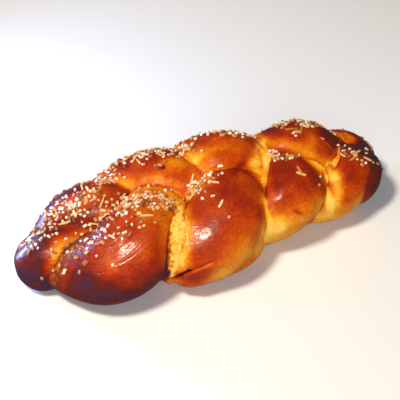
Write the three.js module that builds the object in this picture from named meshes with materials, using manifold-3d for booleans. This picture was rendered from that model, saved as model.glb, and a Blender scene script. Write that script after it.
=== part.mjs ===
// A sweet loaf plaited flat from three strands of dough, glazed with egg and strewn with
// chopped almonds and pearl sugar. The crust, the torn seam, the folded tongue and the almonds
// are one solid, because nothing on the loaf comes off.
// Millimetres, +Z up. The plait lies along X with its darker end at -X, and its base is on Z = 0.
import * as THREE from 'three';
import { mergeVertices } from 'three/addons/utils/BufferGeometryUtils.js';
import Module from 'manifold-3d';

const wasm = await Module();
wasm.setup();

// Driving dimensions of the plait
const halfLength = 180; // from the middle to where the three strands are pinched together
const pitch = 243; // length over which a strand crosses to the other row and comes back
const plaitStart = -18; // place along X where the first strand is furthest to the front
const pitchCreep = { even: 0.98, twist: 0.71 }; // radians by which the plait tightens at the ends
const strandReach = 33.7; // sideways swing of a strand's middle
const reachTaper = -0.15; // share by which the swing shrinks at the far end
const strandRadius = 37.5;
const outerSwell = 0.17; // share by which a strand is thicker at the side than at a crossing
const strandHeight = 0.77; // height of the upper half of a strand against its radius
const middleHeight = 40; // height of the strands' middle over the base
const heightTaper = 0.2; // share by which the loaf is higher at the far end
const crossingLift = 8.5; // how far a strand rises to pass over the next one
const endSquareness = 2.6; // how long the loaf keeps its width before an end
const endRoundness = 0.58; // how blunt the ends are
const endHeight = 0.69; // height of the pinched ends against the middle
const bottomSag = 1.5; // depth by which the soft underside is pressed flat by the tray

// The rows of lobes, in the order in which they follow each other from the near end.
// swell is thickness against an even plait; reach, slide and lift are millimetres outwards,
// towards the far end and up; bits is how many almonds and sugar grains the lobe carries.
const lobes = [
  { row: 'front', swell: 0.99, reach: 0, slide: -7, lift: -1, bits: 24 },
  { row: 'back', swell: 0.97, reach: -5, slide: 12, lift: 1, bits: 34 },
  { row: 'front', swell: 1.07, reach: 14, slide: -3, lift: 3, bits: 48 },
  { row: 'back', swell: 0.97, reach: 2, slide: 2, lift: -2, bits: 28 },
  { row: 'front', swell: 1.06, reach: 11, slide: 3, lift: -3, bits: 14 },
  { row: 'back', swell: 1.01, reach: -2, slide: -12, lift: 2, bits: 16 },
  { row: 'front', swell: 0.96, reach: -6, slide: 5, lift: 0, bits: 9 },
  { row: 'back', swell: 0.93, reach: -7, slide: 2, lift: 8, bits: 14 },
  { row: 'front', swell: 0.95, reach: -5, slide: 8, lift: -6, bits: 7 },
  { row: 'back', swell: 0.84, reach: -1, slide: 1, lift: -5, bits: 3 },
  { row: 'front', swell: 1.21, reach: 0, slide: -7, lift: 1, bits: 3 },
];
const evenLobe = { swell: 1, reach: 0, slide: 0, lift: 0 }; // a pass hidden in a pinched end
const firstLobe = -4; // turn number of the first lobe, in sixths of the pitch

// Where neighbours pushed each other about as they rose: what lies around a place is moved
// by so much, less and less with its distance
const pushReach = 13;
const pushes = [
  { what: 'top of the third front lobe', at: [19, 6, 66], by: [1, 6, 7] },
  { what: 'its near shoulder', at: [5, 4, 64], by: [-3, 3, 2] },
  { what: 'tail of the third back lobe', at: [52, -6, 65], by: [1, -6, -7] },
  { what: 'near shoulder of the fourth front lobe', at: [72, 6, 66], by: [-5, 0, -2] },
  { what: 'top of the fourth front lobe', at: [86, 4, 64], by: [1, 9, 9] },
  { what: 'tail of the fourth back lobe', at: [119, -16, 59], by: [-1, -11, -8] },
  { what: 'head of the seam', at: [-28, -15, 60], by: [1, -1, -3] },
  { what: 'crease of the first three lobes', at: [-143, 7, 49], by: [5, -2, -1] },
  { what: 'notch behind the near end', at: [-164, 19, 39], by: [6, 3, 6] },
  { what: 'tip of the near end', at: [-189, -8, 33], by: [0, 2, 2] },
  { what: 'crease of the far end', at: [162, -19, 54], by: [1, -1, 3] },
  { what: 'flank of the third front lobe', at: [37, -53, 60], by: [-1, 2, 5] },
  { what: 'flank of the fourth front lobe', at: [92, -51, 57], by: [-1, -5, -1] },
  { what: 'near side of the third back lobe', at: [3, 37, 69], by: [-2, -1, -2] },
  { what: 'back of the second back lobe', at: [-70, 51, 59], by: [3, 1, -1] },
  { what: 'back of the fourth back lobe', at: [88, 51, 61], by: [3, 0, -2] },
];

// The plait's middle sits off the centre of the whole, which is the origin
const plaitOffset = new THREE.Vector3(3.8, 6.7, 0);

// Facets: rings along a strand and sides round it
const ringsAlong = 46;
const sidesRound = 26;

// Dough that fills the plait: a flat sole under its middle, and its pinched ends
const sole = { length: 300, width: 112, height: 50, x: 0, y: 0, z: 13 };
const nearEnd = { length: 56, width: 62, height: 48, x: -168, y: -7, z: 18 };
const farEnd = { length: 50, width: 58, height: 52, x: 162, y: 0, z: 24 };

// Ridges of dough on the front, laid along a route. side is the way that a ridge's edges face;
// a higher bluntness keeps it thick almost to its ends.
// The seam tore open between the second and third front lobe.
const seam = {
  route: [
    [-30, -17, 57],
    [-40, -37, 59],
    [-48, -53, 56],
    [-54, -65, 46],
    [-58, -69, 32],
    [-59, -65, 10],
  ],
  width: 26,
  depth: 14,
  side: new THREE.Vector3(1, 0, 0),
  bluntness: 2,
};
// The tongue was folded out under the third front lobe.
const tongue = {
  route: [
    [-54, -60, 16],
    [-35, -61, 18],
    [-10, -60, 20],
    [15, -58, 24],
    [40, -48, 26],
  ],
  width: 39,
  depth: 38,
  side: new THREE.Vector3(0, 1, 0),
  bluntness: 4,
};

// Almonds and sugar: size ranges in millimetres
const nib = { length: [3.2, 5.2], width: [2.4, 3.6], height: [1.8, 2.6] };
const sliver = { length: [9, 12.5], width: [1.9, 2.4], height: [1.6, 2.0] };
const sugar = { length: [2.4, 3.4], width: [2.2, 3.2], height: [2.0, 2.8] };
const sliverShare = 0.12;
const sugarShare = 0.3;
const crestAngle = Math.PI / 2; // straight up on a strand's section
const crestSpread = 0.5; // radians to either side of the crest
const sunkShare = 0.2; // share of a bit's height that its middle sits over the crust
const bitSpacing = 4.2;
const dropHeight = 10; // a bit falls this far onto the dough
const dropTolerance = 1.5; // a longer or shorter fall lands on another strand
const mostTries = 6000;
const strewSeed = 20;

const turn = 2 * Math.PI;
const upward = new THREE.Vector3(0, 0, 1);

// Numbers between 0 and 1 that are the same on every run
function seededRandom(seed) {
  let state = seed >>> 0;
  return () => {
    state = (state + 0x6d2b79f5) >>> 0;
    let mixed = Math.imul(state ^ (state >>> 15), state | 1);
    mixed ^= mixed + Math.imul(mixed ^ (mixed >>> 7), mixed | 61);
    return ((mixed ^ (mixed >>> 14)) >>> 0) / 4294967296;
  };
}

function range(limits, share) {
  return limits[0] + (limits[1] - limits[0]) * share;
}

// Unevenness of a strand where its swing has the given phase, blended from lobe to lobe
function unevenness(strand, phase) {
  const pass = phase / Math.PI;
  const before = Math.floor(pass);
  const share = pass - before;
  const blend = share * share * (3 - 2 * share);
  const lobeAt = (number) => lobes[3 * number - 2 * strand - firstLobe] ?? evenLobe;
  const a = lobeAt(before);
  const b = lobeAt(before + 1);
  const mix = (key) => (1 - blend) * a[key] + blend * b[key];
  return { swell: mix('swell'), reach: mix('reach'), slide: mix('slide'), lift: mix('lift') };
}

// Middle line and radius of a strand at a station from -1 (near end) to 1 (far end)
function strandAt(strand, station) {
  const x = station * halfLength;
  const fullness = (1 - Math.abs(station) ** endSquareness) ** endRoundness;
  const creep = pitchCreep.even * station ** 2 + pitchCreep.twist * station ** 3;
  const phase = (turn * (x - plaitStart)) / pitch + creep + (turn * strand) / 3;
  const uneven = unevenness(strand, phase);
  const swing = strandReach * (1 + reachTaper * station) + uneven.reach;
  const height = middleHeight * (1 + heightTaper * station) * (endHeight + (1 - endHeight) * fullness);
  const side = Math.cos(phase);
  const thickness = (1 + outerSwell * (side * side - 0.5)) * uneven.swell;
  return {
    phase,
    middle: new THREE.Vector3(
      x + uneven.slide,
      -swing * fullness * side,
      height + (crossingLift * Math.sin(2 * phase) + uneven.lift) * fullness,
    ),
    radius: strandRadius * Math.sqrt(fullness) * thickness,
  };
}

// The same with the directions of its section: across to the front, and up
function sectionAt(strand, station) {
  const step = 0.002;
  const section = strandAt(strand, station);
  const behind = strandAt(strand, Math.max(station - step, -1)).middle;
  const ahead = strandAt(strand, Math.min(station + step, 1)).middle;
  const along = ahead.sub(behind).normalize();
  section.across = along.clone().cross(upward).normalize();
  section.up = section.across.clone().cross(along);
  return section;
}

// A point of the skin after its neighbours' pushes
function pushed(point) {
  const moved = point.clone();
  for (const push of pushes) {
    const away = point.distanceTo(new THREE.Vector3(...push.at)) / pushReach;
    moved.addScaledVector(new THREE.Vector3(...push.by), Math.exp(-(away ** 2) / 2));
  }
  return moved;
}

// A point on a strand's skin. The lower half of a section sags to the tray.
function skinPoint(section, cosine, sine) {
  const point = section.middle.clone();
  point.addScaledVector(section.across, section.radius * cosine);
  if (sine >= 0) {
    point.addScaledVector(section.up, section.radius * strandHeight * sine);
  } else {
    point.z += (section.middle.z + bottomSag) * sine;
  }
  return pushed(point);
}

function toSolid(geometry) {
  geometry.deleteAttribute('normal');
  geometry.deleteAttribute('uv');
  const merged = mergeVertices(geometry);
  const vertProperties = new Float32Array(merged.attributes.position.array);
  const triVerts = new Uint32Array(merged.index.array);
  return new wasm.Manifold(new wasm.Mesh({ numProp: 3, vertProperties, triVerts }));
}

function toGeometry(solid) {
  const mesh = solid.getMesh();
  const geometry = new THREE.BufferGeometry();
  geometry.setAttribute('position', new THREE.BufferAttribute(mesh.vertProperties, 3));
  geometry.setIndex(new THREE.BufferAttribute(mesh.triVerts, 1));
  geometry.computeVertexNormals();
  return geometry;
}

// Moves each vertex of a geometry to the place that the function gives
function reshape(geometry, place) {
  const position = geometry.attributes.position;
  const vertex = new THREE.Vector3();
  for (let i = 0; i < position.count; i += 1) {
    vertex.fromBufferAttribute(position, i);
    const moved = place(vertex);
    position.setXYZ(i, moved.x, moved.y, moved.z);
  }
  return geometry;
}

// A strand is a sphere drawn out along its middle line, its poles at the pinched ends
function strandSolid(strand) {
  const sphere = new THREE.SphereGeometry(1, sidesRound, ringsAlong);
  const drawn = reshape(sphere, (vertex) => {
    const station = THREE.MathUtils.clamp(vertex.y, -1, 1);
    const distance = Math.hypot(vertex.x, vertex.z) || 1;
    return skinPoint(sectionAt(strand, station), vertex.x / distance, vertex.z / distance);
  });
  return toSolid(drawn);
}

function ridgeSolid(ridge) {
  const curve = new THREE.CatmullRomCurve3(ridge.route.map((point) => new THREE.Vector3(...point)));
  const sphere = new THREE.SphereGeometry(1, 12, 16);
  const drawn = reshape(sphere, (vertex) => {
    const share = (1 + vertex.y) / 2;
    const along = curve.getTangentAt(share);
    const outward = along.clone().cross(ridge.side).normalize();
    const across = along.clone().cross(outward);
    const fullness = Math.sqrt(1 - Math.abs(vertex.y) ** ridge.bluntness);
    const distance = Math.hypot(vertex.x, vertex.z) || 1;
    const point = curve.getPointAt(share);
    point.addScaledVector(across, ((vertex.x / distance) * fullness * ridge.width) / 2);
    point.addScaledVector(outward, ((vertex.z / distance) * fullness * ridge.depth) / 2);
    return point;
  });
  return toSolid(drawn);
}

function ellipsoidSolid(size) {
  const sphere = new THREE.SphereGeometry(0.5, 26, 16);
  sphere.scale(size.length, size.width, size.height);
  sphere.translate(size.x, size.y, size.z);
  return toSolid(sphere);
}

// The tray cuts everything off at Z = 0
function onTray(solid) {
  const below = new THREE.BoxGeometry(1000, 1000, 100);
  below.translate(0, 0, -50);
  return solid.subtract(toSolid(below));
}

// Where a bit dropped towards a point of a strand lands on the dough. It gives nothing if
// a neighbouring strand covers the point.
function landing(dough, point, outward) {
  const start = point.clone().addScaledVector(outward, dropHeight);
  const ray = new THREE.Raycaster(start, outward.clone().negate());
  const [hit] = ray.intersectObject(dough);
  if (!hit || Math.abs(hit.distance - dropHeight) > dropTolerance) return null;
  return { point: hit.point, outward: hit.face.normal.clone() };
}

// Places for the bits of one lobe: on its crest, out of the creases and clear of each other
function strewLobe(number, dough, random, taken) {
  const sixths = number + firstLobe;
  const strand = ((sixths % 3) + 3) % 3;
  const places = [];
  for (let tries = 0; tries < mostTries && places.length < lobes[number].bits; tries += 1) {
    const section = sectionAt(strand, 2 * random() - 1);
    const spread = random() + random() + random() - 1.5;
    const angle = crestAngle + 2 * crestSpread * spread;
    const pass = Math.round(section.phase / Math.PI);
    if (3 * pass - 2 * strand !== sixths) continue;
    const point = skinPoint(section, Math.cos(angle), Math.sin(angle));
    const outward = section.across.clone().multiplyScalar(Math.cos(angle) * strandHeight);
    outward.addScaledVector(section.up, Math.sin(angle)).normalize();
    const place = landing(dough, point, outward);
    if (!place || taken.some((other) => other.distanceTo(place.point) < bitSpacing)) continue;
    taken.push(place.point);
    places.push(place);
  }
  return places;
}

// One almond nib, sliver or sugar grain, standing a little proud of the crust
function bitSolid(place, random) {
  const draw = random();
  let kind = nib;
  if (draw < sliverShare) kind = sliver;
  else if (draw < sliverShare + sugarShare) kind = sugar;
  const length = range(kind.length, random());
  const width = range(kind.width, random());
  const height = range(kind.height, random());
  const shape = kind === sugar ? new THREE.OctahedronGeometry(0.68) : new THREE.BoxGeometry(1, 1, 1);
  shape.deleteAttribute('normal');
  shape.deleteAttribute('uv');
  const bit = mergeVertices(shape);
  reshape(bit, (corner) => corner.multiplyScalar(range([0.82, 1.1], random())));
  bit.scale(length, width, height);
  bit.rotateZ(turn * random());
  bit.applyQuaternion(new THREE.Quaternion().setFromUnitVectors(upward, place.outward));
  const middle = place.point.clone().addScaledVector(place.outward, height * sunkShare);
  bit.translate(middle.x, middle.y, middle.z);
  return { solid: toSolid(bit), size: length * width * height };
}

function strewnBits(doughSolid) {
  const dough = new THREE.Mesh(toGeometry(doughSolid));
  const random = seededRandom(strewSeed);
  const taken = [];
  const bits = [];
  lobes.forEach((lobe, number) => {
    for (const place of strewLobe(number, dough, random, taken)) bits.push(bitSolid(place, random));
  });
  return bits.sort((a, b) => b.size - a.size);
}

function buildLoaf() {
  let dough = strandSolid(0).add(strandSolid(1)).add(strandSolid(2));
  for (const filling of [sole, nearEnd, farEnd]) dough = dough.add(ellipsoidSolid(filling));
  for (const ridge of [seam, tongue]) dough = dough.add(ridgeSolid(ridge));
  dough = onTray(dough);
  return strewnBits(dough).reduce((loaf, bit) => loaf.add(bit.solid), dough);
}

const crust = new THREE.MeshStandardMaterial({ color: 0xa8481c, roughness: 0.38, metalness: 0 });

const group = new THREE.Group();
const loaf = new THREE.Mesh(toGeometry(buildLoaf()), crust);
loaf.name = 'loaf';
loaf.position.copy(plaitOffset);
group.add(loaf);

export default group;
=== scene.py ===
# Sweet loaf plaited from three strands, egg-glazed, strewn with chopped almonds and pearl sugar.
# Lengths in the dictionaries are millimetres unless a note says otherwise.
import bpy
import bmesh
import math
import random
import numpy as np
from mathutils import Matrix, Vector, noise
from mathutils.bvhtree import BVHTree


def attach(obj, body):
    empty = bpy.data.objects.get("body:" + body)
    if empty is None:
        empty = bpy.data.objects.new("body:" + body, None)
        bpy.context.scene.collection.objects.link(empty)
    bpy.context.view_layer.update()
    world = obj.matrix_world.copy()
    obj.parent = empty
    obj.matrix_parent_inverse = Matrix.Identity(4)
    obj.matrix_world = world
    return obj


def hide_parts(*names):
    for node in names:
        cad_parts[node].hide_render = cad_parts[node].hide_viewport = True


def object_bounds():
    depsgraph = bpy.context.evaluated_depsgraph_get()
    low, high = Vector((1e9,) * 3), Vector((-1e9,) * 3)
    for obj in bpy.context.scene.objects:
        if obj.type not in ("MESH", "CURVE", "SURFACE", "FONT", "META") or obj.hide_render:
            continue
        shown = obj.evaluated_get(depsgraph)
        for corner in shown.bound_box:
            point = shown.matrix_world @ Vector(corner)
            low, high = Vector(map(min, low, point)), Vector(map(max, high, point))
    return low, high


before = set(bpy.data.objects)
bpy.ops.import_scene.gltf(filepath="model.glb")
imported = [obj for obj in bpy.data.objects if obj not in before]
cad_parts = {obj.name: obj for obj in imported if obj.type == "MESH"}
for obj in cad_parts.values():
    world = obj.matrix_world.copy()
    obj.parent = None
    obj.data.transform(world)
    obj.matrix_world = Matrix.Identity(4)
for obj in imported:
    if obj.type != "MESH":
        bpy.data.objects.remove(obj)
cadLow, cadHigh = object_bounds()
mm = 0.001
turn = 2 * math.pi
scene = bpy.context.scene
scene.view_settings.view_transform = "Standard"

# The photograph's camera, found by laying the plait's model over the picture
photo = {
    "width": 400,  # pixels
    "azimuth": -20.1,  # degrees round from the front
    "elevation": 50.7,
    "roll": 1.0,
    "distance": 958,
    "focalPixels": 963,
    "sensorWidth": 36,
    "axisX": 205.3,  # pixel that the camera points at
    "axisY": 201.6,
    "target": (3.8, 6.7, 35.0),
}


def addObject(name, data):
    made = bpy.data.objects.new(name, data)
    scene.collection.objects.link(made)
    return made


def finishMesh(bm, name):
    mesh = bpy.data.meshes.new(name)
    bm.to_mesh(mesh)
    bm.free()
    return mesh


def smoothStep(value, low, high):
    share = np.clip((value - low) / (high - low), 0, 1)
    return share * share * (3 - 2 * share)


# The way to a place that is this far round from the front and this high up, in degrees
def direction(azimuth, elevation):
    azimuth = math.radians(azimuth)
    elevation = math.radians(elevation)
    return Vector((
        math.sin(azimuth) * math.cos(elevation),
        -math.cos(azimuth) * math.cos(elevation),
        math.sin(elevation),
    ))


def cameraAxes():
    back = direction(photo["azimuth"], photo["elevation"])
    right = Vector((0, 0, 1)).cross(back).normalized()
    right = Matrix.Rotation(math.radians(photo["roll"]), 3, back) @ right
    return right, back.cross(right), back


def cameraPlace(back):
    return Vector(photo["target"]) * mm + back * photo["distance"] * mm


def addCamera():
    right, up, back = cameraAxes()
    lens = bpy.data.cameras.new("loafCamera")
    lens.sensor_width = photo["sensorWidth"]
    lens.lens = photo["sensorWidth"] * photo["focalPixels"] / photo["width"]
    lens.shift_x = (photo["width"] / 2 - photo["axisX"]) / photo["width"]
    lens.shift_y = (photo["axisY"] - photo["width"] / 2) / photo["width"]
    camera = addObject("loafCamera", lens)
    turned = Matrix((right, up, back)).transposed().to_4x4()
    camera.matrix_world = Matrix.Translation(cameraPlace(back)) @ turned
    scene.camera = camera


addCamera()
print("camera placed")

# The plait, in the sizes that the frame's solids were made from
plait = {
    "halfLength": 180,
    "pitch": 243,  # of a strand's whole turn
    "start": -18,
    "creepEven": 0.98,  # radians that a turn runs ahead at both ends
    "creepTwist": 0.71,  # and ahead at the far end, behind at the near one
    "reach": 33.7,  # of a strand's middle line to the front and back
    "reachTaper": -0.15,
    "radius": 37.5,
    "outerSwell": 0.17,  # by which a strand is thicker outside than where it crosses
    "height": 0.77,  # of a section above its middle, as a share of the radius
    "middle": 40,  # height of the middle lines
    "heightTaper": 0.2,
    "crossingLift": 8.5,  # of a strand over the others
    "endSquareness": 2.6,
    "endRoundness": 0.58,
    "endHeight": 0.69,  # at the tips, as a share of the rest
    "bottomSag": 1.5,  # of the soft underside, pressed flat by the tray
    "firstLobe": -4,  # its turn number, in sixths of the pitch
    "offset": (3.8, 6.7, 0.0),
}
# Swell, reach, slide and lift of each lobe, front and back in turn from the near end
lobeForms = [
    (0.99, 0, -7, -1), (0.97, -5, 12, 1), (1.07, 14, -3, 3), (0.97, 2, 2, -2), (1.06, 11, 3, -3),
    (1.01, -2, -12, 2), (0.96, -6, 5, 0), (0.93, -7, 2, 8), (0.95, -5, 8, -6), (0.84, -1, 1, -5),
    (1.21, 0, -7, 1),
]
plainLobe = (1, 0, 0, 0)
spareLobes = 12  # plain ones that the plait has past each end
# Where neighbours pushed each other about as they rose: the place, and by how much it was moved
pushReach = 13
pushes = {
    "thirdTop": ((19, 6, 66), (1, 6, 7)),
    "thirdShoulder": ((5, 4, 64), (-3, 3, 2)),
    "thirdBackTail": ((52, -6, 65), (1, -6, -7)),
    "fourthShoulder": ((72, 6, 66), (-5, 0, -2)),
    "fourthTop": ((86, 4, 64), (1, 9, 9)),
    "fourthBackTail": ((119, -16, 59), (-1, -11, -8)),
    "seamHead": ((-28, -15, 60), (1, -1, -3)),
    "nearCrease": ((-143, 7, 49), (5, -2, -1)),
    "nearNotch": ((-164, 19, 39), (6, 3, 6)),
    "nearTip": ((-189, -8, 33), (0, 2, 2)),
    "farCrease": ((162, -19, 54), (1, -1, 3)),
    "thirdFlank": ((37, -53, 60), (-1, 2, 5)),
    "fourthFlank": ((92, -51, 57), (-1, -5, -1)),
    "thirdBackNear": ((3, 37, 69), (-2, -1, -2)),
    "secondBackSide": ((-70, 51, 59), (3, 1, -1)),
    "fourthBackSide": ((88, 51, 61), (3, 0, -2)),
}


# The lobe form at each point of a strand: from one crossing to the next it turns into the next lobe's
def unevenness(strand, phase):
    table = np.array([plainLobe] * spareLobes + lobeForms + [plainLobe] * spareLobes, float)
    crossing = np.floor(phase / math.pi)
    blend = smoothStep(phase / math.pi - crossing, 0, 1)[:, None]
    number = (3 * crossing - 2 * strand).astype(int) - plait["firstLobe"] + spareLobes
    number = np.clip(number, 0, len(table) - 4)
    return ((1 - blend) * table[number] + blend * table[number + 3]).T


def strandMiddle(strand, station):
    x = station * plait["halfLength"]
    fullness = (1 - np.abs(station) ** plait["endSquareness"]) ** plait["endRoundness"]
    creep = plait["creepEven"] * station**2 + plait["creepTwist"] * station**3
    phase = turn * (x - plait["start"]) / plait["pitch"] + creep + turn * strand / 3
    swell, reach, slide, lift = unevenness(strand, phase)
    side = np.cos(phase)
    swing = plait["reach"] * (1 + plait["reachTaper"] * station) + reach
    ends = plait["endHeight"] + (1 - plait["endHeight"]) * fullness
    height = plait["middle"] * (1 + plait["heightTaper"] * station) * ends
    middle = np.stack([
        x + slide,
        -swing * fullness * side,
        height + (plait["crossingLift"] * np.sin(2 * phase) + lift) * fullness,
    ], axis=1)
    radius = plait["radius"] * np.sqrt(fullness) * (1 + plait["outerSwell"] * (side * side - 0.5)) * swell
    return middle, radius, phase


# Middle line, radius and the directions of the section at each station
def strandSection(strand, station):
    step = 0.002
    middle, radius, phase = strandMiddle(strand, station)
    ahead = strandMiddle(strand, np.minimum(station + step, 1))[0]
    behind = strandMiddle(strand, np.maximum(station - step, -1))[0]
    along = ahead - behind
    along /= np.linalg.norm(along, axis=1, keepdims=True)
    across = np.cross(along, (0, 0, 1))
    across /= np.linalg.norm(across, axis=1, keepdims=True)
    up = np.cross(across, along)
    return {"middle": middle, "radius": radius, "phase": phase, "across": across, "up": up}


def pushed(points):
    moved = points.copy()
    for place, step in pushes.values():
        away = np.linalg.norm(points - place, axis=1, keepdims=True) / pushReach
        moved += np.exp(-away**2 / 2) * step
    return moved


# Each shape starts as a ball, with this many sides round it and rings along it
balls = {"strand": (72, 160), "filling": (64, 40), "ridge": (48, 64)}


def addBall(bm, kind, radius=1, matrix=Matrix()):
    sides, rings = balls[kind]
    made = bmesh.ops.create_uvsphere(bm, u_segments=sides, v_segments=rings, radius=radius, matrix=matrix)
    return made["verts"]


def addStrand(bm, strand):
    verts = addBall(bm, "strand")
    ball = np.array([v.co for v in verts])
    section = strandSection(strand, np.clip(ball[:, 2], -1, 1))
    distance = np.maximum(np.hypot(ball[:, 0], ball[:, 1]), 1e-6)
    up = ball[:, 0] / distance
    across = ball[:, 1] / distance
    radius = section["radius"]
    skin = section["middle"] + section["across"] * (radius * across)[:, None]
    skin += section["up"] * (radius * plait["height"] * np.maximum(up, 0))[:, None]
    skin[:, 2] += (section["middle"][:, 2] + plait["bottomSag"]) * np.minimum(up, 0)
    for v, place in zip(verts, pushed(skin) + plait["offset"]):
        v.co = place


# Dough between the strands: a flat sole and the pinched ends
fillings = {
    "sole": {"size": (300, 112, 50), "place": (0, 0, 13)},
    "nearEnd": {"size": (56, 62, 48), "place": (-168, -7, 18)},
    "farEnd": {"size": (50, 58, 52), "place": (162, 0, 24)},
}


def addFilling(bm, filling):
    place = Vector(filling["place"]) + Vector(plait["offset"])
    shape = Matrix.Translation(place) @ Matrix.Diagonal((*filling["size"], 1))
    addBall(bm, "filling", radius=0.5, matrix=shape)


# Ridges on the front: the seam that tore open, and the tongue folded out under the third lobe
ridges = {
    "seam": {
        "route": [
            (-30, -17, 57), (-40, -37, 59), (-48, -53, 56), (-54, -65, 46), (-58, -69, 32), (-59, -65, 10),
        ],
        "width": 26,
        "depth": 14,
        "side": (1, 0, 0),  # the way its edges face
        "bluntness": 2,
    },
    "tongue": {
        "route": [(-54, -60, 16), (-35, -61, 18), (-10, -60, 20), (15, -58, 24), (40, -48, 26)],
        "width": 39,
        "depth": 38,
        "side": (0, 1, 0),
        "bluntness": 4,
    },
}


# A smooth curve through the points of a route, at a share of its length
def routePoint(route, share):
    points = [Vector(p) for p in route]
    points = [2 * points[0] - points[1], *points, 2 * points[-1] - points[-2]]
    place = share * (len(route) - 1)
    i = min(int(place), len(route) - 2)
    t = place - i
    a, b, c, d = points[i:i + 4]
    curve = 2 * b + (c - a) * t + (2 * a - 5 * b + 4 * c - d) * t**2 + (3 * b - a - 3 * c + d) * t**3
    return curve / 2


def addRidge(bm, ridge):
    route = ridge["route"]
    side = Vector(ridge["side"])
    step = 0.01
    for v in addBall(bm, "ridge"):
        share = (1 + v.co.z) / 2
        along = routePoint(route, min(share + step, 1)) - routePoint(route, max(share - step, 0))
        outward = along.cross(side).normalized()
        across = along.cross(outward).normalized()
        fullness = math.sqrt(max(1 - abs(v.co.z) ** ridge["bluntness"], 0))
        distance = math.hypot(v.co.x, v.co.y) or 1
        place = routePoint(route, share) + across * (v.co.x / distance * fullness * ridge["width"] / 2)
        place += outward * (v.co.y / distance * fullness * ridge["depth"] / 2)
        v.co = place + Vector(plait["offset"])


crust = {
    "voxel": 1.38,
    "smoothing": 4,  # passes over the voxel steps
}


# Each part is made by itself, because an operator is slow in a mesh that is already large
def addPart(bm, addShape, shape):
    part = bmesh.new()
    addShape(part, shape)
    mesh = finishMesh(part, "part")
    bm.from_mesh(mesh)
    bpy.data.meshes.remove(mesh)


def buildCrust():
    bm = bmesh.new()
    for strand in range(3):
        addPart(bm, addStrand, strand)
    for filling in fillings.values():
        addPart(bm, addFilling, filling)
    for ridge in ridges.values():
        addPart(bm, addRidge, ridge)
    for v in bm.verts:
        v.co.z = max(v.co.z, 0)
        v.co *= mm
    loaf = addObject("crust", finishMesh(bm, "crust"))
    remesh = loaf.modifiers.new("dough", "REMESH")
    remesh.mode = "VOXEL"
    remesh.voxel_size = crust["voxel"] * mm
    smooth = loaf.modifiers.new("steps", "SMOOTH")
    smooth.iterations = crust["smoothing"]
    shape = bpy.data.meshes.new_from_object(loaf.evaluated_get(bpy.context.evaluated_depsgraph_get()))
    loaf.modifiers.clear()
    loaf.data = shape
    shape.name = "crust"
    shape.shade_smooth()
    return loaf


def readVectors(mesh, field):
    values = np.zeros(len(mesh.vertices) * 3, np.float32)
    mesh.vertices.foreach_get(field, values)
    return values.reshape(-1, 3).astype(float)


def readPoints(mesh):
    return readVectors(mesh, "co") / mm


def writePoints(mesh, points):
    mesh.vertices.foreach_set("co", (points * mm).astype(np.float32).ravel())
    mesh.update()


# What comes this close to a side of the plain solid's box is squashed softly, so that nothing leaves it
squashed = 1.5
boxSides = [(axis, -1, cadLow[axis] / mm) for axis in (0, 1)]
boxSides += [(axis, 1, cadHigh[axis] / mm) for axis in (0, 1, 2)]


def keepInside(points):
    for axis, sign, limit in boxSides:
        over = np.maximum(sign * (points[:, axis] - limit) + squashed, 0)
        points[:, axis] -= sign * (over - squashed * (1 - np.exp(-over / squashed)))


loaf = buildCrust()
print("dough joined:", len(loaf.data.polygons), "faces")


def castTree(piece):
    return BVHTree.FromObject(piece, bpy.context.evaluated_depsgraph_get())


# Place and normal on a surface under a pixel of the photograph
def underPixel(tree, x, y):
    right, up, back = cameraAxes()
    across = (x - photo["axisX"]) / photo["focalPixels"]
    down = (y - photo["axisY"]) / photo["focalPixels"]
    place, normal, _, _ = tree.ray_cast(cameraPlace(back), right * across - up * down - back)
    return (place / mm, normal) if place else (None, None)


def onPhotoPath(path, share):
    place = share * (len(path) - 1)
    i = min(int(place), len(path) - 2)
    return [a + (b - a) * (place - i) for a, b in zip(path[i], path[i + 1])]


# A pixel path laid on the surface
def laidPath(tree, path, steps=24):
    laid = []
    for step in range(steps + 1):
        place, _ = underPixel(tree, *onPhotoPath(path, step / steps))
        if place:
            laid.append(place)
    return np.array(laid)


# How far from a laid path each point is, and how far along it
def nearPath(points, laid):
    farAway = 1e6
    margin = 40  # points further off than this aren't measured
    near = np.full(len(points), farAway)
    share = np.zeros(len(points))
    inside = np.all((points > laid.min(0) - margin) & (points < laid.max(0) + margin), axis=1)
    picked = np.flatnonzero(inside)
    for i in range(len(laid) - 1):
        step = laid[i + 1] - laid[i]
        t = np.clip((points[picked] - laid[i]) @ step / max(step @ step, 1e-9), 0, 1)
        away = np.linalg.norm(points[picked] - laid[i] - t[:, None] * step, axis=1)
        closer = away < near[picked]
        near[picked[closer]] = away[closer]
        share[picked[closer]] = (i + t[closer]) / (len(laid) - 1)
    return near, share


laying = {
    "reach": 0.998,  # share of the half length that is compared
    "stations": 401,
    "block": 5000,  # points at a time
}


# How each point of the skin lies on a strand: gap to the strand's skin, angle round it and place along it
def layOnStrand(points, strand):
    station = np.linspace(-laying["reach"], laying["reach"], laying["stations"])
    section = strandSection(strand, station)
    middle = section["middle"]
    nearest = np.empty(len(points), int)
    for first in range(0, len(points), laying["block"]):
        part = slice(first, first + laying["block"])
        nearest[part] = np.argmin((middle**2).sum(1) - 2 * points[part] @ middle.T, axis=1)
    away = points - middle[nearest]
    radius = section["radius"][nearest]
    side = (away * section["across"][nearest]).sum(1) / radius
    rise = (away * section["up"][nearest]).sum(1)
    sag = middle[nearest, 2] + plait["bottomSag"]
    rise = np.where(rise > 0, rise / (radius * plait["height"]), away[:, 2] / sag)
    length = np.concatenate([[0], np.cumsum(np.linalg.norm(np.diff(middle, axis=0), axis=1))])
    return {
        "gap": (np.hypot(side, rise) - 1) * radius,
        "angle": np.arctan2(rise, side),
        "phase": section["phase"][nearest],
        "strand": np.full(len(points), strand),
        "along": length[nearest],
        "radius": radius,
    }


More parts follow.
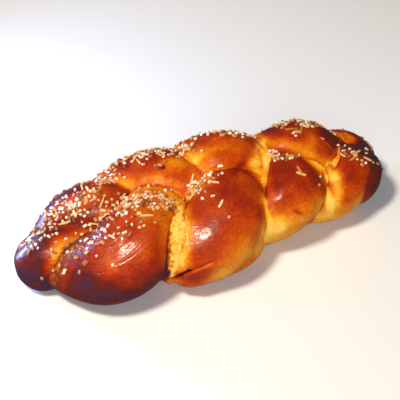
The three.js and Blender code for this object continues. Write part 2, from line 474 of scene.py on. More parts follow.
# The same for the strand that each point is on, and for the two beside it
def layOnPlait(points):
    lays = [layOnStrand(points - plait["offset"], strand) for strand in range(3)]
    table = {key: np.stack([lay[key] for lay in lays]) for key in lays[0]}
    order = np.argsort(table["gap"], axis=0)
    rows = np.arange(len(points))
    return [{key: value[place, rows] for key, value in table.items()} for place in order]


# Browning of each lobe from 0 (pale dough) to 1.2 (nearly burnt): on top, facing the side, and low down;
# then how wide its pale bands are and how brown, how thick its glaze is, and how streaky
lobeBakes = [
    (0.94, 0.97, 0.95, 0.5, 0.58, 0.28, 0.4),
    (0.54, 0.52, 0.90, 0.6, 0.44, 0.04, 0.3),
    (0.66, 0.84, 0.94, 0.1, 0.55, 0.72, 1.0),
    (0.60, 0.39, 0.50, 1.1, 0.28, 0.05, 0.4),
    (0.76, 0.72, 0.44, 0.9, 0.24, 0.76, 0.15),
    (0.55, 0.27, 0.46, 1.2, 0.32, 0.08, 0.4),
    (0.80, 0.72, 0.26, 0.55, 0.20, 0.40, 0.1),
    (0.78, 0.56, 0.50, 1.2, 0.36, 0.08, 0.3),
    (0.80, 0.68, 0.20, 1.8, 0.10, 0.40, 0.2),
    (0.85, 0.60, 0.70, 0.8, 0.40, 0.40, 0.3),
    (1.06, 0.98, 0.86, 0.3, 0.62, 0.60, 0.3),
]
# Reach of the pale band beside a neighbour, by how many lobes on that neighbour is
paleFront = {-2: 19, -1: 4}
paleBack = {-2: 10, -1: 17, 1: 16}
baking = {
    "full": 1.25,  # browning at the end of the crust's colours
    "lobeEnds": (0.24, 0.34),  # where one lobe turns into the next, between two crossings
    "paleOther": 0.6,  # reach of the band beside any other lobe
    "paleUneven": 0.35,
    "paleUnevenSize": 18,
    "paleLeast": 0.1,
    "paleStart": (3, 1),  # the bands fade this far off the strand's own skin
    "paleEnds": (0.94, 0.86),  # and this far along the plait
    "paintedCreaseShade": 0.26,  # painted shade: browning added where two strands meet, darkening the crease
    "paintedCreaseShadeWidth": 3,
    "crownBake": 0.22,  # added on the upper half of the far side
    "crownFrom": (28, 50),  # behind the middle
    "crownUp": (0, 0.4),
    "topFrom": (0.45, 0.95),  # steepness of the skin over which side turns to top
    "lowFrom": (0.45, -0.3),
    "endStart": 0.78,  # from this far along, the ends are baked darker
    "endBake": 0.16,
    "unevenBake": 0.14,
    "unevenSize": 26,
    "grainApart": 90,  # between the grains of the three strands
}

# Marks on the crust along paths in the photograph's pixels, from the near end to the far one.
# depth cuts in, and a negative one raises; bake is browning added or taken away;
# torn is how far the crumb lies open.
def markAlong(path, width, depth=0, bake=0, torn=0):
    return {"path": path, "width": width, "depth": depth, "bake": bake, "torn": torn}


marks = {
    # near end
    "duskyEnd": markAlong([(90, 222), (72, 227), (52, 233), (44, 232)], 16, bake=0.42),
    "darkTip": markAlong([(24, 276), (34, 284), (46, 288)], 7, bake=0.36),
    "darkBack": markAlong([(40, 222), (50, 203), (74, 188)], 12, bake=0.5),
    "endFold": markAlong([(38, 262), (37, 274), (46, 286)], 2.4, depth=1.2, bake=0.1),
    "endBand": markAlong([(90, 229), (74, 239), (58, 251), (50, 264), (47, 276)], 6, bake=-0.12),
    "endBandLow": markAlong([(55, 258), (51, 270), (51, 284)], 7, bake=-0.26),
    "stretchedCrease": markAlong(
        [(92, 231), (76, 243), (63, 257), (56, 271), (54, 286)], 8, depth=0.2, bake=0.16, torn=0.4),
    # second lobe, and the one behind it
    "darkStart": markAlong([(102, 228), (90, 242), (78, 262), (80, 284), (96, 298)], 15, bake=0.26),
    "brushMark": markAlong([(114, 266), (106, 279), (96, 292)], 4.5, bake=-0.08),
    "brushMarkEnd": markAlong([(72, 266), (63, 280), (61, 292)], 4, bake=-0.12),
    "fullSecond": markAlong([(153, 234), (151, 262)], 14, depth=-2.8),
    "secondHollow": markAlong([(102, 268), (108, 254)], 11, depth=1.1),
    "darkSecondFoot": markAlong([(90, 282), (108, 290), (132, 297)], 10, bake=0.2),
    "warmSecondSide": markAlong([(164, 226), (165, 244), (160, 262)], 6, bake=-0.16),
    "brownSecond": markAlong([(150, 204), (164, 209), (168, 220)], 9, bake=0.08),
    "warmShoulder": markAlong([(150, 228), (166, 214), (182, 203)], 7, bake=-0.08),
    "goldenSecond": markAlong([(146, 178), (160, 179), (176, 185), (192, 196)], 6, bake=-0.24),
    "goldenTail": markAlong([(178, 162), (190, 168), (200, 180)], 14, bake=-0.34),
    "charSpot": markAlong([(161, 167), (163, 167)], 2.2, depth=0.8, bake=0.7),
    # torn seam
    "tornStrip": markAlong(
        [(180, 207), (178, 222), (176, 240), (174, 258), (172, 276)], 6.9, depth=0.3, bake=-0.5, torn=1),
    # Partly painted shade: the tear's left edge is browned darker where it lies in the crease under the
    # second lobe's edge; the cut itself is real
    "tornEdge": markAlong(
        [(177, 208), (171, 222), (168, 238), (167, 256), (166, 276)], 1.4, depth=1.1, bake=0.2),
    "tornShade": markAlong([(171, 234), (169, 250), (168, 262), (169, 274)], 3, depth=0.3, bake=0.26),
    "tornPale": markAlong([(180, 228), (179, 244), (177, 258)], 3.4, depth=-0.4, bake=-0.3),
    "rawEdge": markAlong([(186, 214), (187, 230), (186, 248), (182, 264)], 4, bake=-0.1, torn=0.4),
    # third lobe and its tongue
    "warmFlank": markAlong([(187, 212), (189, 236), (188, 252), (182, 268)], 7, bake=-0.36),
    "fullFlank": markAlong([(193, 202), (190, 212), (189, 222)], 11, depth=-2.4),
    "redThirdSide": markAlong(
        [(240, 169), (251, 177), (260, 188), (266, 201), (269, 214), (270, 225)], 7, bake=0.3),
    "goldenThirdTip": markAlong([(254, 164), (258, 172), (262, 182)], 5, bake=-0.26),
    "goldenFoot": markAlong([(224, 268), (242, 253), (262, 237)], 15, bake=-0.34),
    "darkFoot": markAlong([(182, 284), (203, 277)], 8, bake=0.16),
    "tongueTip": markAlong([(181, 282), (190, 284), (203, 281)], 5, depth=-2.6),
    # Painted shade: the fold and its end are browned darker in the crevice under the third lobe, over a
    # cut that is really there
    "fold": markAlong([(173, 279), (181, 276), (189, 272)], 1.9, depth=4.2, bake=0.5),
    "foldEnd": markAlong([(188, 272), (198, 268), (212, 262)], 1.1, depth=1.0, bake=0.12),
    "foldLip": markAlong([(184, 276), (198, 270), (213, 263.5)], 1.1, depth=-0.5, bake=-0.26),
    "stretchFold": markAlong([(254, 143), (260, 151), (263, 160), (263, 168)], 1.4, depth=1.6, bake=0.1),
    "stretchRidge": markAlong([(258, 146), (264, 153), (266, 164)], 1.6, depth=-0.9, bake=-0.15),
    # fourth lobe, and the one behind it
    "warmFourthEdge": markAlong([(267, 166), (267, 180), (270, 194)], 5, bake=-0.2),
    # Painted shade: the fourth lobe's right side is browned darker where it turns into the crease beside
    # the fifth
    "paintedShadeFourthSide": markAlong([(324, 170), (325, 186), (322, 204)], 5, bake=0.2),
    "fullFourth": markAlong([(284, 188), (283, 198)], 6, depth=-1.2),
    "goldenFourthSide": markAlong([(266, 204), (271, 216), (279, 227)], 8, bake=-0.5),
    "goldenFourthFoot": markAlong([(278, 222), (300, 216), (320, 202)], 12, bake=-0.32),
    "goldenFourth": markAlong([(264, 143), (285, 142), (303, 150)], 7, bake=-0.34),
    "goldenTip": markAlong([(314, 156), (326, 166), (332, 176)], 7, bake=-0.5),
    "goldenFold": markAlong([(312, 140), (322, 150), (328, 160), (331, 170)], 10, bake=-0.32),
    "blisterNear": markAlong([(294, 211), (297, 212)], 1.6, depth=-0.4, bake=0.28),
    "blisterFar": markAlong([(299, 213), (301, 214)], 1.4, depth=-0.4, bake=0.25),
    "backFold": markAlong([(322, 137), (329, 141), (336, 148)], 1.3, depth=1.6, bake=0.05),
    "backRidge": markAlong([(321, 139), (328, 144), (334, 151)], 1.5, depth=-0.8, bake=-0.2),
    # far end
    "goldenFifthSide": markAlong([(336, 180), (338, 192), (336, 204)], 7, bake=-0.5),
    "yellowPatch": markAlong([(346, 134), (352, 138)], 5, bake=-0.45),
    "farCrescent": markAlong([(368, 149), (374, 155), (378, 165)], 2.0, bake=0.25),
}
rough = {
    "waveSize": 34,  # slow unevenness of the dough
    "waveHeight": 0.7,
    "bumpSize": 9,
    "bumpHeight": 0.18,
    "tornSize": 2.6,
    "tornHeight": 0.75,
    "tornEdge": 2.4,  # how ragged the torn strip's edges are
    "tornEdgeSize": 6,
    "tornStart": (-0.08, 0.36),  # where along its path it widens
    "tornEnd": (1.3, 0.6),  # and narrows
    "tornLeast": 0.1,
    "tornFade": (1.2, 0.6),  # where in its width the crumb meets the crust
}


def noiseAt(points, size, seed):
    shift = Vector((seed, 2 * seed, 3 * seed))
    return np.array([noise.noise(Vector(p) / size + shift) for p in points])


# The share of an open mark at each point: it has ragged edges, and narrows towards the ends of its path
def tornShare(near, along, width):
    width = width * smoothStep(along, *rough["tornStart"]) * smoothStep(along, *rough["tornEnd"])
    return smoothStep(near / np.maximum(width, rough["tornLeast"]), *rough["tornFade"])


def shapeMarks(mesh, tree):
    points = readPoints(mesh)
    normals = readVectors(mesh, "normal")
    ragged = rough["tornEdge"] * noiseAt(points, rough["tornEdgeSize"], seed=17)
    cut, bake, torn = np.zeros((3, len(points)))
    for mark in marks.values():
        near, along = nearPath(points, laidPath(tree, mark["path"]))
        share = np.exp(-((near / mark["width"]) ** 2))
        if mark["torn"]:
            share = tornShare(near + ragged, along, mark["width"])
            torn = np.maximum(torn, share * mark["torn"])
        cut += mark["depth"] * share
        bake += mark["bake"] * share
    wave = noiseAt(points, rough["waveSize"], seed=3) * rough["waveHeight"]
    wave += noiseAt(points, rough["bumpSize"], seed=7) * rough["bumpHeight"]
    wave += noiseAt(points, rough["tornSize"], seed=11) * rough["tornHeight"] * torn
    points += normals * (wave - cut)[:, None]
    points[:, 2] = np.maximum(points[:, 2], 0)
    keepInside(points)
    writePoints(mesh, points)
    return bake, torn


# The two lobes that each point lies between along its strand, and the share of each.
# A lobe reaches over the top of the plait and ends where the strand is hidden.
def lobesAt(lay):
    crossing = np.floor(lay["phase"] / math.pi)
    blend = smoothStep(lay["phase"] / math.pi - crossing, *baking["lobeEnds"])
    first = (3 * crossing - 2 * lay["strand"]).astype(int) - plait["firstLobe"]
    return (first, 1 - blend), (first + 3, blend)


def lobeRow(number):
    return np.clip(number, 0, len(lobeBakes) - 1)


# How far the pale band reaches from a neighbouring strand, between the lobes that meet there
def bandWidth(own, beside):
    count = len(lobeBakes)
    widths = np.full((count, count), baking["paleOther"])
    for lobe in range(count):
        for step, width in (paleBack if lobe % 2 else paleFront).items():
            if 0 <= lobe + step < count:
                widths[lobe, lobe + step] = width * lobeBakes[lobe][3]
    pairs = [(one, other) for one in lobesAt(own) for other in lobesAt(beside)]
    return sum(widths[lobeRow(one[0]), lobeRow(other[0])] * one[1] * other[1] for one, other in pairs)


def bakeCrust(mesh, marked):
    points = readPoints(mesh)
    own, *others = layOnPlait(points)
    table = np.array(lobeBakes)
    rows = sum(table[lobeRow(lobe)].T * share for lobe, share in lobesAt(own))
    top, side, low, _, paleDough, glaze, streaks = rows
    up = np.sin(own["angle"])
    bake = side + (top - side) * smoothStep(up, *baking["topFrom"])
    bake += (low - bake) * smoothStep(up, *baking["lowFrom"])
    crown = smoothStep(points[:, 1], *baking["crownFrom"])
    bake += baking["crownBake"] * crown * smoothStep(up, *baking["crownUp"])
    station = np.abs((points[:, 0] - plait["offset"][0]) / plait["halfLength"])
    uneven = 1 + baking["paleUneven"] * noiseAt(points, baking["paleUnevenSize"], seed=5)
    pale = np.zeros(len(points))
    for beside in others:
        width = np.maximum(bandWidth(own, beside) * uneven, baking["paleLeast"])
        pale = np.maximum(pale, smoothStep(beside["gap"], width, 0))
    pale *= smoothStep(own["gap"], *baking["paleStart"]) * smoothStep(station, *baking["paleEnds"])
    bake += np.minimum(paleDough - bake, 0) * pale
    # Painted shade: the crust is browned darker along the line where two strands meet
    bake += baking["paintedCreaseShade"] * smoothStep(others[0]["gap"], baking["paintedCreaseShadeWidth"], 0)
    bake += baking["endBake"] * smoothStep(station, baking["endStart"], 1)
    bake += baking["unevenBake"] * noiseAt(points, baking["unevenSize"], seed=13)
    bake += marked
    # Along the strand, round it, and apart from the other strands
    grain = np.stack([
        own["along"], own["angle"] * own["radius"], baking["grainApart"] * own["strand"],
    ], axis=1)
    return np.clip(bake, 0, baking["full"]), glaze, streaks, grain


def writeAttribute(mesh, name, kind, values):
    attribute = mesh.attributes.new(name, kind, "POINT")
    field = "vector" if kind == "FLOAT_VECTOR" else "value"
    attribute.data.foreach_set(field, values.astype(np.float32).ravel())


markBake, torn = shapeMarks(loaf.data, castTree(loaf))
browning, glaze, streaks, grain = bakeCrust(loaf.data, markBake)
for name, values in (("browning", browning), ("glaze", glaze), ("streaks", streaks), ("torn", torn)):
    writeAttribute(loaf.data, name, "FLOAT", values)
writeAttribute(loaf.data, "grain", "FLOAT_VECTOR", grain * mm)
print("crust shaped and baked")


def newMaterial(name):
    material = bpy.data.materials.new(name)
    material.use_nodes = True
    return material, material.node_tree, material.node_tree.nodes["Principled BSDF"]


# A node whose inputs are set to values or linked to sockets, and whose settings are its own fields
def addNode(tree, kind, inputs, **settings):
    made = tree.nodes.new(kind)
    for key, value in settings.items():
        setattr(made, key, value)
    for key, value in inputs.items():
        if isinstance(value, bpy.types.NodeSocket):
            tree.links.new(value, made.inputs[key])
        else:
            made.inputs[key].default_value = value
    return made


def addMath(tree, operation, first, second):
    return addNode(tree, "ShaderNodeMath", {0: first, 1: second}, operation=operation).outputs[0]


# A noise about a half, as a swing to both sides of zero
def addSwing(tree, value, amount):
    return addMath(tree, "MULTIPLY", addMath(tree, "SUBTRACT", value, 0.5), amount)


def addNoise(tree, vector, scale, detail):
    inputs = {"Vector": vector, "Scale": scale, "Detail": detail}
    return addNode(tree, "ShaderNodeTexNoise", inputs).outputs["Fac"]


def readAttribute(tree, name, output="Fac"):
    return addNode(tree, "ShaderNodeAttribute", {}, attribute_name=name).outputs[output]


# A colour in steps of 0 to 255, as the linear light that sockets take
def linear(color):
    return [((c / 255 + 0.055) / 1.055) ** 2.4 for c in color] + [1]


def addRamp(tree, value, stops):
    made = addNode(tree, "ShaderNodeValToRGB", {"Fac": value})
    ramp = made.color_ramp
    while len(ramp.elements) < len(stops):
        ramp.elements.new(1)
    for element, (place, color) in zip(ramp.elements, stops):
        element.position = place
        element.color = linear(color)
    return made.outputs["Color"]


# Fine grain that the crust, the almonds and the sugar share, at each one's own size and strength
def buildGrainGroup():
    group = bpy.data.node_groups.new("fineGrain", "ShaderNodeTree")
    for name, default in (("Size", 0.001), ("Strength", 0.3), ("Distance", 0.0003)):
        socket = group.interface.new_socket(name, in_out="INPUT", socket_type="NodeSocketFloat")
        socket.default_value = default
    group.interface.new_socket("Normal", in_out="OUTPUT", socket_type="NodeSocketVector")
    group.interface.new_socket("Height", in_out="OUTPUT", socket_type="NodeSocketFloat")
    inside = group.nodes.new("NodeGroupInput").outputs
    place = addNode(group, "ShaderNodeTexCoord", {}).outputs["Object"]
    scale = addMath(group, "DIVIDE", 1.0, inside["Size"])
    height = addNode(group, "ShaderNodeTexNoise", {
        "Vector": place, "Scale": scale, "Detail": 2.0, "Roughness": 0.6,
    }).outputs["Fac"]
    bump = addNode(group, "ShaderNodeBump", {
        "Height": height, "Strength": inside["Strength"], "Distance": inside["Distance"],
    })
    addNode(group, "NodeGroupOutput", {"Normal": bump.outputs["Normal"], "Height": height})
    return group


def addGrain(tree, group, values):
    return addNode(tree, "ShaderNodeGroup", values, node_tree=group).outputs


crustLook = {
    # The last, darkest stop is violet: the real dark brown of the most baked crust with a painted bluish
    # sheen mixed in
    "stops": [
        (0.0, (240, 196, 92)), (0.13, (234, 168, 44)), (0.3, (214, 118, 12)), (0.47, (186, 70, 8)),
        (0.63, (148, 38, 8)), (0.8, (98, 28, 18)), (1.0, (72, 39, 57)),
    ],
    "crumbStops": [
        (0.08, (140, 72, 22)), (0.22, (212, 136, 38)), (0.36, (232, 172, 62)), (0.6, (242, 200, 98)),
    ],
    # Noises in waves to the metre, and by how much each varies the browning
    "cloud": 70,
    "cloudBake": 0.42,
    "fleck": 420,
    "fleckBake": 0.34,
    "streak": (30, 190, 1000),  # along the strand, round it, and from strand to strand
    "streakBake": 0.1,
    "pore": 210,
    "crumb": 300,
    "crumbLight": 0.55,  # lightness that is left in a pore
    "crumbBake": 0.5,  # by which browning darkens the crumb
    "roughness": 0.26,
    "fleckRoughness": 0.16,
    "tornRoughness": 0.45,
    "brushStops": [(0.5, (110, 110, 110)), (0.72, (255, 255, 255))],  # thin and thick egg wash
    "brushFleck": 0.3,
    "coat": 0.85,
    "coatRoughness": 0.19,
    "specular": 0.1,
    "grain": {"Size": 0.0018, "Strength": 0.7, "Distance": 0.0005},  # metres
    "relief": {"Strength": 0.7, "Distance": 0.0016},  # of the streaks, metres
    "washFleck": 0.12,  # flecks in the relief of the egg wash
}


def buildCrustMaterial(grainGroup):
    look = crustLook
    material, tree, shader = newMaterial("glazedCrust")
    place = addNode(tree, "ShaderNodeTexCoord", {}).outputs["Object"]
    bake = readAttribute(tree, "browning")
    torn = readAttribute(tree, "torn")
    glazed = readAttribute(tree, "glaze")
    streaky = readAttribute(tree, "streaks")
    along = readAttribute(tree, "grain", "Vector")
    # Cloudy patches, small flecks, and streaks where the dough stretched along the strand
    cloud = addNoise(tree, place, look["cloud"], detail=5)
    fleck = addNoise(tree, place, look["fleck"], detail=3)
    drawn = addNode(tree, "ShaderNodeVectorMath", {0: along, 1: look["streak"]}, operation="MULTIPLY")
    streak = addNoise(tree, drawn.outputs[0], 1, detail=3)
    uneven = addSwing(tree, cloud, look["cloudBake"])
    uneven = addMath(tree, "ADD", uneven, addSwing(tree, fleck, look["fleckBake"]))
    uneven = addMath(tree, "ADD", uneven, addSwing(tree, streak, look["streakBake"]))
    browned = addMath(tree, "DIVIDE", addMath(tree, "ADD", bake, uneven), baking["full"])
    baked = addRamp(tree, browned, look["stops"])
    # The open crumb: pores and threads, paler where it is less baked
    pores = addNode(tree, "ShaderNodeTexVoronoi", {"Vector": place, "Scale": look["pore"]})
    threads = addNoise(tree, place, look["crumb"], detail=4)
    airy = addMath(tree, "ADD", pores.outputs["Distance"], look["crumbLight"])
    airy = addMath(tree, "MULTIPLY", threads, airy)
    airy = addMath(tree, "SUBTRACT", airy, addMath(tree, "MULTIPLY", bake, look["crumbBake"]))
    crumb = addRamp(tree, airy, look["crumbStops"])
    color = addNode(tree, "ShaderNodeMix", {"Factor": torn, "A": baked, "B": crumb}, data_type="RGBA")
    tree.links.new(color.outputs["Result"], shader.inputs["Base Color"])
    dull = addMath(tree, "MULTIPLY", torn, look["tornRoughness"])
    dull = addMath(tree, "ADD", dull, addMath(tree, "MULTIPLY", fleck, look["fleckRoughness"]))
    tree.links.new(addMath(tree, "ADD", dull, look["roughness"]), shader.inputs["Roughness"])
    # The egg wash: as thick as each lobe's glaze says, streaked by the brush, and none on the crumb
    brushed = addMath(tree, "ADD", streak, addMath(tree, "MULTIPLY", fleck, look["brushFleck"]))
    brushed = addRamp(tree, brushed, look["brushStops"])
    wet = addMath(tree, "MULTIPLY", addMath(tree, "SUBTRACT", 1, torn), glazed)
    wet = addMath(tree, "MULTIPLY", wet, brushed)
    tree.links.new(addMath(tree, "MULTIPLY", wet, look["coat"]), shader.inputs["Coat Weight"])
    shader.inputs["Coat Roughness"].default_value = look["coatRoughness"]
    shader.inputs["Specular IOR Level"].default_value = look["specular"]
    # Relief of the dough itself, and of the wash over it
    grain = addGrain(tree, grainGroup, look["grain"])
    drawnOut = addMath(tree, "MULTIPLY", streak, streaky)
    dough = addNode(tree, "ShaderNodeBump", {
        "Height": drawnOut, "Normal": grain["Normal"], **look["relief"],
    })
    tree.links.new(dough.outputs["Normal"], shader.inputs["Normal"])
    flecked = addMath(tree, "ADD", drawnOut, addMath(tree, "MULTIPLY", fleck, look["washFleck"]))
    wash = addNode(tree, "ShaderNodeBump", {"Height": flecked, **look["relief"]})
    tree.links.new(wash.outputs["Normal"], shader.inputs["Coat Normal"])
    return material


grainGroup = buildGrainGroup()
loaf.data.materials.append(buildCrustMaterial(grainGroup))
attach(loaf, "root")
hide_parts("loaf")

# Almonds and sugar strewn on the crust. lift is how far a bit's middle lies above the skin, as a share of
# its height; lean is how far it leans over, in degrees; edge is rubbed off, as a share of its size.
almondNibs = {
    "length": (3.0, 6.0),
    "width": (2.2, 3.8),
    "height": (1.6, 3.0),
    "lift": 0.2,
    "lean": 15,
    "corners": (0.62, 1.12),  # where a corner may lie, as a share of the whole block's
    "edge": 0.1,
    "stops": [
        (0.0, (112, 52, 24)), (0.2, (166, 96, 40)), (0.45, (196, 142, 78)), (0.7, (218, 180, 124)),
        (1.0, (238, 218, 186)),
    ],
    "roughness": 0.42,
}
almondSlivers = {
    "length": (8.5, 12.5),
    "width": (1.7, 2.4),
    "height": (1.4, 2.0),
    "lift": 0.3,
    "lean": 4.5,
    "cuts": 3,
    "bend": 0.35,  # of its width, to either side
    "taper": 1.6,
    "taperLeast": 0.5,  # the least share of the taper that a corner gets
    "edge": 0.07,
    "stops": [(0.0, (176, 104, 40)), (0.4, (212, 160, 84)), (1.0, (232, 198, 138))],
    "roughness": 0.42,
}
pearlSugar = {
    "length": (1.8, 3.5),
    "width": (1.6, 3.0),
    "height": (1.5, 2.6),
    "lift": 0.26,
    "lean": 20,
    "edge": 0.27,
    "lumps": 0.3,  # height of its lumps, as a share of its size
    "lumpsAcross": 2.3,
    "stops": [(0.0, (190, 148, 108)), (0.4, (220, 194, 162)), (1.0, (246, 236, 218))],
    "roughness": 0.3,
}
kinds = {"almondNibs": almondNibs, "almondSlivers": almondSlivers, "pearlSugar": pearlSugar}
# Drifts along paths in the photograph's pixels, with how far they spread and how many nibs, slivers and
# sugar grains they hold. The random draws follow their order.
def driftAlong(path, spread, bits):
    return {"path": path, "spread": spread, "bits": bits}


drifts = {
    "nearTop": driftAlong([(24, 250), (36, 238), (52, 228)], 6, (22, 0, 9)),
    "nearSide": driftAlong([(36, 272), (50, 252), (68, 238)], 8, (6, 0, 4)),
    "firstBack": driftAlong([(54, 214), (74, 202), (96, 192)], 6, (48, 2, 17)),
    "firstBackLow": driftAlong([(46, 222), (66, 214), (84, 212)], 5, (13, 1, 5)),
    "backCrease": driftAlong([(90, 182), (104, 178), (122, 180)], 4, (20, 1, 6)),
    "secondCrest": driftAlong([(96, 222), (116, 208), (136, 200), (158, 196)], 9, (50, 4, 22)),
    "secondTop": driftAlong([(124, 204), (148, 200)], 4, (10, 1, 7)),
    "secondFront": driftAlong([(66, 268), (86, 250), (108, 236), (134, 226)], 10, (22, 1, 9)),
    "secondBack": driftAlong([(106, 170), (124, 160), (146, 152), (180, 154)], 3, (38, 2, 10)),
    "secondBackFront": driftAlong([(132, 164), (164, 166)], 4, (4, 1, 1)),
    "thirdTop": driftAlong([(194, 192), (204, 182), (218, 172)], 5, (19, 2, 9)),
    "thirdBackNear": driftAlong([(180, 153), (190, 148)], 3.4, (11, 1, 5)),
    "thirdBack": driftAlong([(194, 138), (216, 131), (246, 134)], 2.8, (22, 2, 6)),
    "fourthTop": driftAlong([(271, 151), (278, 158), (294, 157)], 2.8, (11, 3, 5)),
    "fourthBack": driftAlong([(276, 126), (292, 120), (308, 122), (322, 124)], 3.6, (24, 1, 7)),
    "fourthBackSide": driftAlong([(292, 134), (302, 130)], 4, (3, 3, 2)),
    "fifthTop": driftAlong([(342, 148), (350, 156)], 4, (8, 4, 4)),
    "farEnd": driftAlong([(364, 150), (376, 168)], 5, (5, 1, 3)),
    "secondEnd": driftAlong([(150, 196), (163, 200), (172, 207)], 6, (10, 3, 5)),
}
# Bits that stand alone: kind, pixel and turn in degrees
singles = [
    ("almondSlivers", (221, 204), 200), ("pearlSugar", (229, 217), 0), ("pearlSugar", (186, 224), 0),
    ("almondSlivers", (299, 170), -40), ("almondSlivers", (301, 174), 8), ("pearlSugar", (320, 177), 0),
    ("pearlSugar", (319, 185), 0), ("almondSlivers", (171, 203), 5), ("almondNibs", (213, 196), 30),
    ("almondNibs", (362, 165), 10), ("almondSlivers", (193, 193), 35), ("pearlSugar", (202, 198), 0),
    ("pearlSugar", (203, 199), 0), ("almondSlivers", (147, 216), -32), ("almondNibs", (166, 196), 60),
    ("almondNibs", (162, 215), 20), ("pearlSugar", (144, 226), 0), ("almondNibs", (92, 243), 0),
    ("pearlSugar", (97, 256), 0), ("almondNibs", (80, 272), 40), ("almondNibs", (42, 278), 0),
    ("almondNibs", (86, 263), 0), ("pearlSugar", (113, 265), 0), ("almondNibs", (52, 250), 20),
]
# Bits on the slopes that the photograph doesn't show, by lobe: number of the lobe, nibs, slivers and sugar
unseen = [
    (0, (6, 0, 3)), (1, (22, 2, 8)), (3, (26, 3, 9)), (5, (18, 2, 6)), (7, (14, 2, 4)), (9, (7, 1, 2)),
    (10, (3, 0, 1)),
]
strewing = {
    "seed": 41,
    "shapes": 14,  # different shapes of each kind
    "gap": 3.0,  # between the middles of two bits
    "tries": 60,
    "flatness": 0.6,  # spread down the picture, as a share of the spread across it
    "steepest": 0.1,  # least upward part of the skin's normal where a bit stays
    "unseenAngle": (112, 22),  # degrees round the strand from its front, and the spread
    "unseenTurn": 0.25,  # most that an unseen skin faces the camera
    "reach": 0.97,  # share of the half length that has unseen bits
    "stations": 900,
    "dropHeight": 12,
}


def jitter(chance, low, high):
    return Vector((chance.uniform(low, high), chance.uniform(low, high), chance.uniform(low, high)))


def rubEdges(bm, offset):
    bmesh.ops.bevel(
        bm, geom=bm.edges[:], offset=offset, segments=1, profile=0.5, affect="EDGES", material=-1)


# A chopped corner of an almond: a block with its corners moved and its edges rubbed off
def nibShape(bm, chance):
    bmesh.ops.create_cube(bm, size=1)
    for v in bm.verts:
        v.co *= jitter(chance, *almondNibs["corners"])
    rubEdges(bm, almondNibs["edge"])


# A split almond: long, a little bent, thinner at both ends
def sliverShape(bm, chance):
    bmesh.ops.create_cube(bm, size=1)
    lengthwise = [e for e in bm.edges if abs(e.verts[0].co.x - e.verts[1].co.x) > 0.5]
    bmesh.ops.subdivide_edges(bm, edges=lengthwise, cuts=almondSlivers["cuts"])
    bend = chance.uniform(-almondSlivers["bend"], almondSlivers["bend"])
    for v in bm.verts:
        thin = 1 - almondSlivers["taper"] * v.co.x**2 * chance.uniform(almondSlivers["taperLeast"], 1)
        v.co.y = v.co.y * thin + bend * (0.5 - 2 * v.co.x**2)
        v.co.z *= thin
    rubEdges(bm, almondSlivers["edge"])


# A grain of pearl sugar: a lump with its corners worn off
def sugarShape(bm, chance):
    bmesh.ops.create_cube(bm, size=1)
    rubEdges(bm, pearlSugar["edge"])
    lump = jitter(chance, 0, 9)  # gives each grain its own lumps
    for v in bm.verts:
        v.co *= 1 + pearlSugar["lumps"] * noise.noise(v.co * pearlSugar["lumpsAcross"] + lump)


shapeMakers = {"almondNibs": nibShape, "almondSlivers": sliverShape, "pearlSugar": sugarShape}


def makeShapes(kind, chance):
    made = []
    for i in range(strewing["shapes"]):
        bm = bmesh.new()
        shapeMakers[kind](bm, chance)
        made.append(finishMesh(bm, kind + "Shape"))
    return made


def farEnough(place, taken):
    return all((place - other).length > strewing["gap"] for other in taken)


# Places of bits of each kind: the place, the normal there and a turn if it is a given one
def strewDrift(tree, drift, chance, taken, placed):
    for kind, wanted in zip(kinds, drift["bits"]):
        for bit in range(wanted):
            for attempt in range(strewing["tries"]):
                x, y = onPhotoPath(drift["path"], chance.random())
                x += chance.gauss(0, drift["spread"])
                y += chance.gauss(0, drift["spread"] * strewing["flatness"])
                place, normal = underPixel(tree, x, y)
                if place and normal.z > strewing["steepest"] and farEnough(place, taken):
                    taken.append(place)
                    placed[kind].append((place, normal, None))
                    break


# The same on the slopes of a lobe that the photograph doesn't show
def strewUnseen(tree, number, bits, chance, taken, placed):
    turnNumber = number + plait["firstLobe"]
    strand = turnNumber % 3
    station = np.linspace(-strewing["reach"], strewing["reach"], strewing["stations"])
    section = strandSection(strand, station)
    crossing = np.round(section["phase"] / math.pi)
    stations = np.flatnonzero(3 * crossing - 2 * strand == turnNumber).tolist()
    _, _, back = cameraAxes()
    for kind, wanted in zip(kinds, bits):
        for attempt in range(wanted * strewing["tries"]):
            i = chance.choice(stations)
            angle = math.radians(chance.gauss(*strewing["unseenAngle"]))
            outward = Vector(section["across"][i]) * math.cos(angle)
            outward += Vector(section["up"][i]) * math.sin(angle)
            skin = Vector(section["middle"][i]) + Vector(plait["offset"]) + outward * section["radius"][i]
            hit, normal, _, _ = tree.ray_cast((skin + outward * strewing["dropHeight"]) * mm, -outward)
            if hit is None or normal.z < strewing["steepest"] or normal.dot(back) > strewing["unseenTurn"]:
                continue
            place = hit / mm
            if (place - skin).length < strewing["dropHeight"] and farEnough(place, taken):
                taken.append(place)
                placed[kind].append((place, normal, None))
                wanted -= 1
                if not wanted:
                    break


def addBit(bm, shapes, look, place, normal, angle, chance):
    size = [chance.uniform(*look[key]) for key in ("length", "width", "height")]
    spin = chance.uniform(0, turn) if angle is None else math.radians(angle)
    lean = Matrix.Rotation(chance.gauss(0, math.radians(look["lean"])), 4, "X")
    lean = lean @ Matrix.Rotation(chance.gauss(0, math.radians(look["lean"])), 4, "Y")
    stand = normal.to_track_quat("Z", "X").to_matrix().to_4x4()
    middle = place + normal * size[2] * look["lift"]
    matrix = Matrix.Translation(middle) @ stand @ Matrix.Rotation(spin, 4, "Z")
    matrix = matrix @ lean @ Matrix.Diagonal((*size, 1))
    first = len(bm.verts)
    bm.from_mesh(chance.choice(shapes))
    bm.verts.ensure_lookup_table()
    verts = bm.verts[first:]
    bmesh.ops.transform(bm, matrix=Matrix.Scale(mm, 4) @ matrix, verts=verts)
    return verts


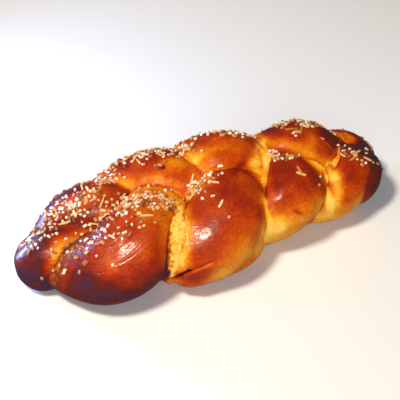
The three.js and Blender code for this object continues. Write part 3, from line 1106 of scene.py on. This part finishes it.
def strewBits(tree):
    chance = random.Random(strewing["seed"])
    taken = []
    placed = {kind: [] for kind in kinds}
    for kind, pixel, angle in singles:
        place, normal = underPixel(tree, *pixel)
        taken.append(place)
        placed[kind].append((place, normal, angle))
    for drift in drifts.values():
        strewDrift(tree, drift, chance, taken, placed)
    for number, bits in unseen:
        strewUnseen(tree, number, bits, chance, taken, placed)
    return placed


def buildBits(kind, places):
    chance = random.Random(kind)
    shapes = makeShapes(kind, chance)
    bm = bmesh.new()
    tone = bm.verts.layers.float.new("tone")
    for place, normal, angle in places:
        verts = addBit(bm, shapes, kinds[kind], place, normal, angle, chance)
        shade = chance.random()
        for v in verts:
            v[tone] = shade
    mesh = finishMesh(bm, kind)
    points = readPoints(mesh)
    keepInside(points)
    writePoints(mesh, points)
    return addObject(kind, mesh)


bitLook = {
    "grain": {"Size": 0.0009, "Strength": 0.5, "Distance": 0.0003},  # metres
    "grainTone": 0.5,  # how much the grain changes a bit's colour
}


def buildBitMaterial(kind, grainGroup):
    material, tree, shader = newMaterial(kind + "Look")
    grain = addGrain(tree, grainGroup, bitLook["grain"])
    speckle = addSwing(tree, grain["Height"], bitLook["grainTone"])
    tone = addMath(tree, "ADD", readAttribute(tree, "tone"), speckle)
    tree.links.new(addRamp(tree, tone, kinds[kind]["stops"]), shader.inputs["Base Color"])
    tree.links.new(grain["Normal"], shader.inputs["Normal"])
    shader.inputs["Roughness"].default_value = kinds[kind]["roughness"]
    return material


placed = strewBits(castTree(loaf))
for kind, places in placed.items():
    piece = buildBits(kind, places)
    piece.data.materials.append(buildBitMaterial(kind, grainGroup))
    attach(piece, "root")
    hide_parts("loaf")
    print(kind, len(places), "bits,", len(piece.data.polygons), "faces")

# The pale floor and the world's light
studio = {
    "floorSize": 6.0,  # metres
    "floorColor": (0.85, 0.87, 0.92, 1),
    "floorRoughness": 0.8,
    "worldColor": (1.0, 0.96, 0.9, 1),
    "worldStrength": 0.09,
}


def addStudio():
    bm = bmesh.new()
    bmesh.ops.create_grid(bm, x_segments=1, y_segments=1, size=studio["floorSize"] / 2)
    floor = addObject("floor", finishMesh(bm, "floor"))
    material, _, shader = newMaterial("paleFloor")
    shader.inputs["Base Color"].default_value = studio["floorColor"]
    shader.inputs["Roughness"].default_value = studio["floorRoughness"]
    floor.data.materials.append(material)
    floor.visible_glossy = False
    world = bpy.data.worlds.new("studio")
    world.use_nodes = True
    background = world.node_tree.nodes["Background"]
    background.inputs["Color"].default_value = studio["worldColor"]
    background.inputs["Strength"].default_value = studio["worldStrength"]
    scene.world = world


# Soft boxes: where from (degrees), how far and how large (metres), strength in watts, and the place that
# they shine on (metres). The window stands close behind the near end, so its sheen shows only there.
lamps = {
    "key": {
        "azimuth": -80, "elevation": 67, "distance": 1.25, "size": 0.2, "power": 15.6,
        "color": (1, 0.89, 0.7), "around": (0, 0, 0.04), "sheen": True,
    },
    "fill": {
        "azimuth": -5, "elevation": 32, "distance": 1.4, "size": 1.2, "power": 10,
        "color": (1, 0.98, 0.95), "around": (0, 0, 0.04), "sheen": False,
    },
    "window": {
        "azimuth": -150, "elevation": 22, "distance": 0.38, "size": 0.08, "power": 0.44,
        "color": (0.26, 0.46, 1), "around": (-0.18, 0, 0.05), "sheen": True,
    },
    "lowWindow": {
        "azimuth": -142, "elevation": 2, "distance": 0.3, "size": 0.12, "power": 4.4,
        "color": (0.32, 0.52, 1), "around": (-0.18, 0, 0.05), "sheen": True,
    },
}


def addLamps():
    for name, lamp in lamps.items():
        light = bpy.data.lights.new(name, "AREA")
        light.size = lamp["size"]
        light.energy = lamp["power"]
        light.color = lamp["color"]
        back = direction(lamp["azimuth"], lamp["elevation"])
        holder = addObject(name, light)
        holder.location = back * lamp["distance"] + Vector(lamp["around"])
        holder.visible_glossy = lamp["sheen"]
        holder.rotation_mode = "QUATERNION"
        holder.rotation_quaternion = back.to_track_quat("Z", "Y")


addStudio()
addLamps()
print("studio lit")
